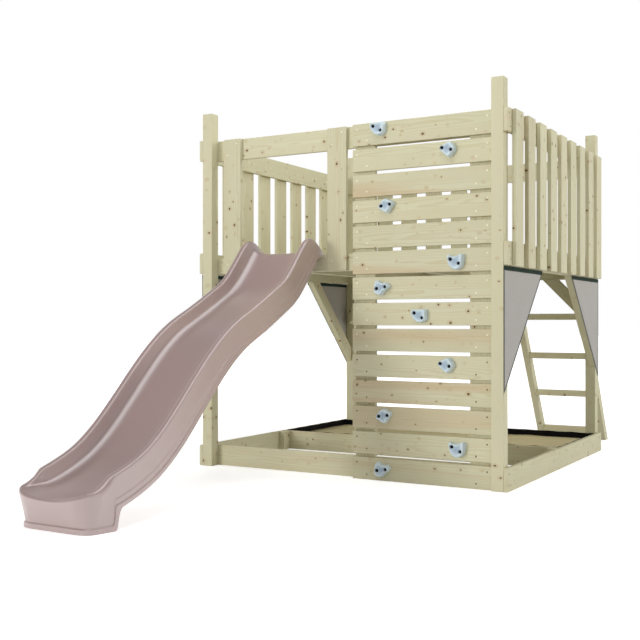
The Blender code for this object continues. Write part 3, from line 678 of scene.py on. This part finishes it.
# The outer wall is a strip down the left side, round the toe and back up the right side.
ring_row = np.hstack((np.arange(rows - 1), np.full(columns, rows - 1), np.arange(rows - 1)[::-1]))
ring_column = np.hstack((np.zeros(rows - 1, int), np.arange(columns),
                         np.full(rows - 1, columns - 1)))
rim = upper[ring_row, ring_column]
chord = upper[-1, 2:, :2] - upper[-1, :-2, :2]
facing = np.stack((chord[:, 1], -chord[:, 0]), 1) / np.linalg.norm(chord, axis=1)[:, None]
facing = np.vstack((np.tile((-1.0, 0.0), (rows, 1)), facing, np.tile((1.0, 0.0), (rows, 1))))
y, z, slope_y, slope_z = (part[ring_row] for part in (at, bed(at), up_y, up_z))
below = np.stack((rim[:, 0], rim[:, 1] - (rim[:, 2] - z) / slope_z * slope_y, z), 1)
# It goes straight down to the ground round the toe's box, and square to the bed elsewhere.
behind = box_end - y
boxed = behind > 0.005
depth = np.where(boxed, z, skin + (skirt_deep - skin) * np.interp(
    (doorway - y) / skirt_run, (0.025, 0.125, 0.44, 0.75, 1.00), (0.00, 0.20, 0.48, 0.92, 1.00)))
share = np.where(boxed, 1, (depth - skin) / (skirt_deep - skin))
down = np.stack((0 * y, np.where(boxed, 0, -slope_y), np.where(boxed, -1, -slope_z)), 1)
taper = toe_taper * np.clip(behind / toe_box, 0, 1)
out = (skirt_flare - taper) * facing[:, 0] ** 2 - toe_undercut * facing[:, 1] ** 2
hem = np.where(boxed & (behind <= hem_tall + hem_ledge / 2), z - skirt_deep + hem_tall, hem_tall)
hem = np.minimum(hem, np.maximum(0.4 * depth, depth - 0.6 * skirt_deep))
ledge = np.minimum(hem_ledge, 0.3 * hem)
sideways = np.hstack((facing, 0 * facing[:, :1])) * share[:, None]


def under(deep, proud):
    """Points of the outer wall, so deep under the bed and standing out so far."""
    return below + down * deep[:, None] + sideways * (out + proud)[:, None]


# Above the hem a shallow crease runs along the skirt, and fades out round the toe.
crease, fading = 0.0030, 0.06
ridge = crease * np.clip(1 - behind / fading, 0, 1)
fall = np.linalg.norm(under(depth - hem, 0) - rim, axis=1)


def on_wall(length, part, proud):
    """Points that far above the hem's ledge, or that part of the wall where it is low."""
    t = (1 - np.minimum(length / fall, part))[:, None]
    return rim + t * (under(depth - hem, 0) - rim) + sideways * (ridge * proud)[:, None]


# Rows down the wall: under the rim, over the crease, over the ledge, and down the hem.
strip = np.stack((
    rim + np.minimum(0.010 / fall, 0.15)[:, None] * (under(depth - hem, 0) - rim),
    on_wall(0.045, 0.62, 0), on_wall(0.0245, 0.45, 0), on_wall(0.0215, 0.40, 1),
    on_wall(0.016, 0.30, 1), on_wall(0.0035, 0.08, 1), under(depth - hem, ridge),
    under(depth - hem + ledge, hem_out), under(depth - hem + ledge + 0.1 * hem, hem_out),
    under(depth - 0.13 * hem, hem_out), under(depth, hem_out)), 1)
number = np.arange(rows * columns).reshape(rows, columns)
lower = rows * columns + np.arange(strip[..., 0].size).reshape(strip.shape[:2])
lower = np.hstack((number[ring_row, ring_column][:, None], lower))


def thicken(piece, thickness, offset):
    """Gives a surface a wall: behind it where offset is -1, on both sides where it is 0."""
    wall = piece.modifiers.new("wall", "SOLIDIFY")
    wall.thickness = thickness
    wall.offset = offset


slide = surface("slide_moulding", np.vstack((upper.reshape(-1, 3), strip.reshape(-1, 3))),
                np.vstack((quads_of(number)[:, ::-1], quads_of(lower))), moulded_plastic(),
                "slide_plastic")
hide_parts("slide")
thicken(slide, skin, -1.0)
finer = slide.modifiers.new("smooth", "SUBSURF")
finer.levels = finer.render_levels = 2


# Climbing holds
#
# Ten cast grips in five knobbly shapes, hollowed in front. Two black socket bolts, sunk in each,
# fix it to its board.

def cast_resin():
    """Matt, gritty resin in pale blue, with painted shade that darkens it down in the bowl."""
    made, tree, shader = new_material("hold_resin")
    grit = even_noise(tree, 700)
    # deep is the bowl's share; the darker blue it mixes in is painted shade down in the bowl.
    deep = add(tree, "SeparateXYZ", {0: field(tree, "hollow")}).outputs[0]
    clouds = mixed(tree, even_noise(tree, 16, 3), srgb(205, 221, 228), srgb(213, 227, 232))
    tint = layered(tree, clouds, (deep, (160, 178, 193)),
                   (times(tree, step(tree, grit, 0.56, 0.70), 0.35), (168, 190, 200)))
    feed(tree, shader, {"Base Color": tint, "Roughness": 0.62,
                        "Normal": bumped(tree, 0.55, 0.0004, grit)})
    return made


def black_steel():
    """Blackened steel: dark, with a soft uneven sheen."""
    made, tree, shader = new_material("black_steel")
    blotch = even_noise(tree, 180)
    feed(tree, shader, {"Base Color": mixed(tree, blotch, srgb(14, 14, 16), srgb(32, 31, 33)),
                        "Roughness": ranged(tree, blotch, 0.35, 0.6), "Metallic": 0.7})
    return made


def turned(profile, places, facing, sides):
    """Round pieces: each profile point (r, h) goes round as place + r (cos a, sin a) + h facing."""
    facing = np.asarray(facing, float)
    level = np.cross(facing, (0, 0, 1) if abs(facing[2]) < 0.9 else (0, 1, 0))
    a = np.arange(sides) / sides * 2 * np.pi
    ring = np.cos(a)[:, None] * level + np.sin(a)[:, None] * np.cross(facing, level)
    r, h = np.array(profile).T
    one = r[:, None, None] * ring + h[:, None, None] * facing
    points = np.asarray(places)[:, None, None] + one
    quads = grid_quads(len(profile), sides, closed=True)
    first = np.arange(len(points))[:, None, None] * one.size // 3
    return points, (quads + first).reshape(-1, 4)


hold_deep, bolt_spacing = 0.040, 0.054
bowl_deep, bowl_wide = 0.0085, 0.78      # metres, and a share of the outline
sunk_radius, sunk_lean = 0.0100, 0.0016  # the bolts' sinkings: radius, and lean of their walls
sunk_floor = 0.025                       # their floor above the board
resin, bolt_steel = cast_resin(), black_steel()
# Degrees that the two bolts are turned from level, and the outline's knobs in millimetres about
# the middle between them. The five shapes go up the wall twice.
shapes = (
    (-30, ((-43, 28), (0, 32), (41, 34), (45, 0), (41, -26), (9, -41), (-18, -29), (-36, -8))),
    (-15, ((-43, 9), (-13, 26), (19, 38), (39, 18), (47, -5), (31, -27), (10, -44), (-19, -23))),
    (8, ((-46, -13), (-29, 19), (-2, 38), (24, 26), (46, 15), (28, -18), (7, -43), (-23, -29))),
    (-26, ((-43, 34), (-16, 29), (10, 28), (43, 39), (46, 0), (34, -33), (0, -47), (-35, -19))),
    (10, ((-44, 1), (-31, 41), (5, 26), (31, 27), (48, 6), (19, -19), (-6, -41), (-39, -32))))
grips = [(turn, np.array(knobs) / 1000) for turn, knobs in shapes] * 2
# From the back's middle to the front's middle: share of the outline, share of the depth.
loft = smooth_through(((0.0, 0.0), (0.6, 0.0), (0.97, 0.0), (1.0, 0.03), (1.0, 0.25),
                       (0.985, 0.55), (0.95, 0.78), (0.89, 0.91), (0.80, 0.975), (0.62, 1.0),
                       (0.30, 1.0), (0.0, 1.0)), 5)
fore = loft[:, 1:] > 0.5
between = 12                             # points from one knob to the next
bolt_profile = ((0.0, 0.0040), (0.0034, 0.0040), (0.0037, 0.0085), (0.0058, 0.0085),
                (0.0066, 0.0078), (0.0066, 0.0016), (0.0093, 0.0014), (0.0095, 0.0), (0.0, 0.0))
for k, (degrees, knobs) in enumerate(grips, start=1):
    low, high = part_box(f"hold_{k:02d}")
    # The outline runs through the knobs and closes, and stands in the middle of the node's box.
    ring = smooth_through(np.vstack((knobs[-1:], knobs, knobs[:2])), between)
    ring_x, ring_z = ring[between:between * (len(knobs) + 1)].T
    middle_x = (low.x + high.x) / 2 - (ring_x.max() + ring_x.min()) / 2
    middle_z = (low.z + high.z) / 2 - (ring_z.max() + ring_z.min()) / 2
    u, v = loft[:, :1] * ring_x, loft[:, :1] * ring_z
    proud = loft[:, 1:] * hold_deep + 0 * u
    turn = radians(degrees)
    along_bolts = u * np.cos(turn) + v * np.sin(turn)
    athwart = v * np.cos(turn) - u * np.sin(turn)
    # A bowl inside the front's rim, and a round sinking at each bolt.
    bowl = np.maximum(0, 1 - (loft[:, :1] / bowl_wide) ** 2) * fore + 0 * u
    nearest = np.hypot(np.abs(along_bolts) - bolt_spacing / 2, athwart)
    t = np.clip((nearest - sunk_radius + 0.0006) / sunk_lean, 0, 1)
    proud = np.where(fore, proud - bowl_deep * bowl, proud)
    proud = np.where(fore, sunk_floor + (proud - sunk_floor) * t * t * (3 - 2 * t), proud)
    points = np.stack((middle_x + u, high.y - proud, middle_z + v), -1)
    # The bowl's share is kept on the points to paint shade in the bowl.
    grip = surface(f"hold_{k:02d}_grip", points, grid_quads(*u.shape, closed=True)[:, ::-1],
                   resin, "hold_plastic", poles=True, hollow=np.stack((bowl,) * 3, -1))
    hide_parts(f"hold_{k:02d}")
    spots = [(middle_x + way * bolt_spacing / 2 * np.cos(turn), high.y - sunk_floor,
              middle_z + way * bolt_spacing / 2 * np.sin(turn)) for way in (-1, 1)]
    points, quads = turned(bolt_profile, spots, (0, -1, 0), 24)
    surface(f"hold_{k:02d}_bolts", points, quads, bolt_steel, None, poles=True)


# Corner sheets
#
# A triangle of grey woven sheet is stretched over the outside of each corner under the deck. Its
# edges are bound in dark tape, and a dark strip along the top is what it is fastened by.

def woven(name, light, dark, threads, rough, sheen=0.12):
    """Plain weave read from the cloth's own flat plan: warp and weft rise and sink in turn."""
    made, tree, shader = new_material(name)
    plan = field(tree, "plan")
    x, y, _ = add(tree, "SeparateXYZ", {0: plan}).outputs
    warp = calculate(tree, "SINE", times(tree, x, threads))
    weft = calculate(tree, "SINE", times(tree, y, threads))
    weave = calculate(tree, "MULTIPLY_ADD", times(tree, warp, weft), 0.5, 0.5)
    slub = noise(tree, plan, (30, 260, 1))
    tone = calculate(tree, "MULTIPLY_ADD", weave, 0.35, times(tree, slub, 0.5))
    tint = mixed(tree, tone, dark, light)
    feed(tree, shader, {"Base Color": tint, "Roughness": rough, "Sheen Weight": sheen,
                        "Specular IOR Level": 0.3, "Normal": bumped(tree, 0.4, 0.0003, weave)})
    return made


def tape(name, start, end, side, wide, thickness, material):
    """A flat strip from start to end: its section is an oval, wide along side, and it closes to
    a line at each end. Its plan is metres along it and metres across it."""
    start, end, side = (np.array(p, float) for p in (start, end, side))
    long = np.linalg.norm(end - start)
    # 28 ovals of 16 points, of which the outer two at each end close it.
    run = np.hstack(([0, 0], np.linspace(0.002, long - 0.002, 24), [long, long]))
    full = np.hstack(([0, 0.8], np.ones(24), [0.8, 0]))
    way = (end - start) / long
    through = np.cross(way, side)
    a = np.arange(16) / 16 * 2 * np.pi
    corner = np.sign((np.cos(a), np.sin(a))) * np.abs((np.cos(a), np.sin(a))) ** 0.5
    v = full[:, None] * corner[0] * wide / 2
    w = full[:, None] * corner[1] * thickness / 2
    points = (start + run[:, None, None] * way + v[..., None] * side + w[..., None] * through)
    plan = np.stack((run[:, None] + 0 * v, v, 0 * v), -1)
    return surface(name, points, grid_quads(28, 16, closed=True)[:, ::-1], material, "grey_sheet",
                   poles=True, plan=plan)


sheet_cloth = woven("grey_sheet", srgb(186, 182, 176), srgb(160, 156, 151), 3400, 0.8)
dark_tape = woven("dark_tape", srgb(84, 92, 86), srgb(58, 66, 61), 2600, 0.8, 0.0)
green_tape = woven("green_tape", srgb(28, 54, 40), srgb(14, 30, 22), 2600, 0.85, 0.0)
sheet_leg, cloth_thick, cloth_grid = 0.682, 0.0012, 40
ripple, strip_short = 0.0026, 0.014      # and how far the top strip ends before the corner
binding, strip = (0.010, 0.0032), (0.024, 0.0034)     # tapes: width, thickness
inset = 0.005                                         # of the bindings' middles from the edges
for end, way in (("front", 1), ("rear", -1)):
    for side, sign in (("left", -1), ("right", 1)):
        node = f"corner_panel_{end}_{side}"
        low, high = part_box(node)
        x = (low.x + high.x) / 2
        post_y, far_y = (low.y, high.y) if way == 1 else (high.y, low.y)
        # Rows go down the post's edge and get shorter towards the tip.
        t = np.linspace(0, 1, cloth_grid)[:, None]
        s = np.linspace(0, 1, cloth_grid)[None, :]
        level = post_y + s * (1 - t) * (far_y - post_y)
        height = high.z - t * (high.z - low.z) + 0 * s
        # Slack ripples run along the bias, and die away at the fastened edges.
        free = np.sin(np.pi * s) * (t * (1 - t)) ** 0.5
        bias = (np.abs(level - post_y) + high.z - height) / sheet_leg
        belly = ripple * free * np.sin(4.2 * np.pi * bias + 2.0 * s + sign + way)
        points = np.stack((x + sign * belly, level, height), -1)
        plan = np.stack((level, height, 0 * level), -1)
        quads = grid_quads(cloth_grid, cloth_grid)
        if sign * way > 0:
            quads = quads[:, ::-1]
        cloth = surface(node + "_cloth", points, quads, sheet_cloth, "grey_sheet", poles=True,
                        plan=plan)
        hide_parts(node)
        thicken(cloth, cloth_thick, 0.0)
        corner = (x, post_y + way * inset, high.z - inset)
        far = (x, far_y - way * 2.4 * inset, high.z - inset)
        tip = (x, post_y + way * inset, low.z + 2.4 * inset)
        slant = np.array((0, way * half, -half))
        strip_z = high.z - strip[0] / 2
        bound = [tape(node + "_upright", corner, tip, (0, 1, 0), *binding, dark_tape),
                 tape(node + "_slant", tip, far, slant, *binding, dark_tape),
                 tape(node + "_top", (x, post_y, strip_z),
                      (x, far_y - way * strip_short, strip_z), (0, 0, 1), *strip, green_tape)]


# Sandpit
#
# A black membrane lines the pit between the base boards and the divider, and comes up just above
# them. The sand in it is raked, and lies a little below the boards' tops.

def pit_loop(wide, long, corner, count):
    """Points evenly round a rectangle with quarter-round corners, about the origin."""
    a = np.linspace(0, np.pi / 2, 6)
    arc = corner * np.stack((np.cos(a), np.sin(a)), 1) + (wide / 2 - corner, long / 2 - corner)
    whole = np.vstack((arc, arc[::-1] * (-1, 1), -arc, arc[::-1] * (1, -1), arc[:1]))
    gone = np.hstack(([0], np.cumsum(np.linalg.norm(np.diff(whole, axis=0), axis=1))))
    even = np.arange(count) / count * gone[-1]
    return np.stack([np.interp(even, gone, whole[:, k]) for k in (0, 1)], 1)


liner_low, liner_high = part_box("sandpit_liner")
pit_x, pit_y = (liner_low.x + liner_high.x) / 2, (liner_low.y + liner_high.y) / 2
pit_wide, pit_long = liner_high.x - liner_low.x, liner_high.y - liner_low.y
pit_count, pit_corner = 320, 0.012
# Rows from the rim down the wall, and over the floor to the middle: inset, share of the way in,
# height.
rows = np.array(((0.0020, 1, liner_high.z), (0.0012, 1, 0.118), (0.0012, 1, 0.095),
                 (0.0012, 1, 0.060), (0.0015, 1, 0.020), (0.0040, 1, 0.0022),
                 (0.0200, 1, 0.0016), (0.0200, 0.6, 0.0016), (0.0200, 0.25, 0.0016),
                 (0.0200, 0.0, 0.0016)))
loops = np.stack([way_in * pit_loop(pit_wide - 2 * inset, pit_long - 2 * inset, pit_corner,
                                    pit_count) for inset, way_in, _ in rows])
heights = np.repeat(rows[:, 2:], pit_count, 1)
# Between its staples the rim sags a little.
staples = 34
sag = np.abs(np.sin(np.arange(pit_count) / pit_count * np.pi * staples))
heights[0] -= 0.0035 * sag
heights[1] -= 0.0015 * sag
points = np.stack((pit_x + loops[..., 0], pit_y + loops[..., 1], heights), -1)
girth = np.linspace(0, 2 * (pit_wide + pit_long), pit_count)
plan = np.stack((girth + 0 * heights, heights + loops[..., 0], 0 * heights), -1)
membrane = surface("pit_liner", points, grid_quads(len(rows), pit_count, closed=True),
                   woven("black_liner", srgb(13, 13, 14), srgb(5, 5, 6), 2600, 0.9, 0.0),
                   "black_liner", poles=True, plan=plan)
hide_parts("sandpit_liner")
thicken(membrane, cloth_thick, -1.0)


def play_sand():
    """Fine tan sand: grains from pale quartz to dark, in clouds that are damper and darker."""
    made, tree, shader = new_material("play_sand")
    grain = even_noise(tree, 620)
    clouds = mixed(tree, even_noise(tree, 5, 4), srgb(224, 212, 168), srgb(208, 195, 148))
    tint = layered(tree, clouds,
                   (times(tree, step(tree, grain, 0.55, 0.68), 0.6), (224, 214, 182)),
                   (times(tree, step(tree, grain, 0.42, 0.30), 0.55), (126, 108, 74)))
    relief = calculate(tree, "MULTIPLY_ADD", even_noise(tree, 90, 3), 2.0, grain)
    feed(tree, shader, {"Base Color": tint, "Roughness": 0.92,
                        "Normal": bumped(tree, 0.7, 0.0015, relief)})
    return made


sand_low, sand_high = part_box("sand_fill")
sand_wide, sand_long = sand_high.x - sand_low.x, sand_high.y - sand_low.y
sand_count, sand_corner = 280, 0.010
# Rows from the middle of the bottom out to its edge, up the side, and over the top to the middle.
way_in = np.hstack(([0, 1, 1, 1], np.linspace(1, 0, 40)[1:]))
loops = way_in[:, None, None] * pit_loop(sand_wide, sand_long, sand_corner, sand_count)
x, y = pit_x + loops[..., 0], pit_y + loops[..., 1]
swell = (0.55 * np.sin(5.1 * x + 1.3 * y) * np.sin(6.3 * y + 0.7) + 0.25 * np.sin(17 * x - 5 * y)
         + 0.20 * np.sin(23 * y + 4 * x + 1.0))
rake = 0.0012 * np.sin(150 * (y + 0.04 * np.sin(5 * x)))
# The surface's top is level with the solid's, and its hollows lie up to 14 mm lower.
height = sand_high.z - 0.007 + 0.006 * swell + rake
height[:2] = sand_low.z
height[2] = 0.05
points = np.stack((x, y, height), -1)
sand = surface("sand_bed", points, grid_quads(len(way_in), sand_count, closed=True), play_sand(),
               "sand", poles=True)
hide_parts("sand_fill")


# Screws
#
# Countersunk screws with a round recess fix every board. Those in the base, the side rims, the
# side rails and the lower wall are dark, and the rest pale zinc. The slats are screwed from inside.

def screw_metal(name, light, dark):
    """Plated steel with faint stains."""
    made, tree, shader = new_material(name)
    feed(tree, shader, {"Base Color": mixed(tree, even_noise(tree, 300), light, dark),
                        "Metallic": 0.3, "Roughness": 0.42})
    return made


zinc = screw_metal("zinc_plate", srgb(248, 245, 226), srgb(232, 227, 204))
bronze = screw_metal("dark_plate", srgb(92, 76, 54), srgb(58, 46, 32))
# A screw's head from the recess's floor to the rim and under it: radius, height above the wood.
head = ((0.0, -0.0013), (0.0012, -0.0013), (0.0018, 0.0005), (0.0036, 0.0005), (0.0048, 0.0001),
        (0.0049, -0.0010), (0.0, -0.0010))


def screws(name, places, facing, metal):
    """One piece with a head at each place, level with the wood and facing out of it."""
    points, quads = turned(head, places, facing, 10)
    surface(name, points, quads, metal, None, poles=True)


def spread(xs, ys, zs):
    """Every combination of three lists of coordinates."""
    return np.stack(np.meshgrid(xs, ys, zs, indexing="ij"), -1).reshape(-1, 3)


# Four screws to a wall board: at each stud one high and near the end, one low and further in.
zinc_boards = 9
wall_at = [(x, wall_front, line + z) for line in wall_lines
           for x, z in ((wall_left + 0.029, 0.097), (wall_left + 0.092, 0.030),
                        (wall_right - 0.029, 0.097), (wall_right - 0.092, 0.030))]
screws("wall_screws_upper", wall_at[:4 * zinc_boards], (0, -1, 0), zinc)
screws("wall_screws_lower", wall_at[4 * zinc_boards:], (0, -1, 0), bronze)
jamb_at = []
for side in ("left", "right"):
    low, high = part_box(f"slide_jamb_{side}")
    jamb_at += [(high.x - 0.030, low.y, rail_top - 0.030), (low.x + 0.030, low.y, rail_top - 0.098),
                (low.x + 0.030, low.y, beam_bottom + 0.060),
                (high.x - 0.030, low.y, beam_bottom + 0.020)]
screws("jamb_screws", jamb_at, (0, -1, 0), zinc)
rim_rise = 0.032                         # of the side rims above the deck
ends = (front + 0.022, front + 0.048, back - 0.048, back - 0.022)
for side, way in (("left", -1), ("right", 1)):
    outer = way * (half_width + thick)
    for piece, heights in (("base", (0.095, 0.033)),
                           ("rim", (deck_top + rim_rise - 0.030, deck_top + rim_rise - 0.096)),
                           ("rail", (rail_top - 0.030, rail_top - 0.098))):
        screws(f"{piece}_screws_{side}", [(outer, y, z) for y, z in zip(ends, heights * 2)],
               (way, 0, 0), bronze)
    # Two through the rail into each slat.
    slats_at = slat_lines[:, None] + slat_wide / 2 + (-0.030, 0.030)
    screws(f"slat_screws_{side}", spread([way * half_width], slats_at.ravel(),
                                         [rail_top - tall / 2]), (-way, 0, 0), zinc)
    low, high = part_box(f"ladder_stringer_{side}")
    outer = low.x if side == "left" else high.x
    rungs = [(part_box(f"ladder_rung_{k}")[0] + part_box(f"ladder_rung_{k}")[1]) / 2
             for k in range(1, 5)]
    screws(f"rung_screws_{side}", [(outer, p.y + dy, p.z + dy * 0.3) for p in rungs
                                   for dy in (-0.014, 0.014)], (way, 0, 0), zinc)
deck_at = deck_lines[:, None] + (0.032, deck_wide - 0.032)
screws("deck_screws", spread(joist_lines + joist / 2, deck_at.ravel(), [deck_top]), (0, 0, 1), zinc)


# Size
#
# The box of every piece that is shown, the floor left out.

low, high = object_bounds()
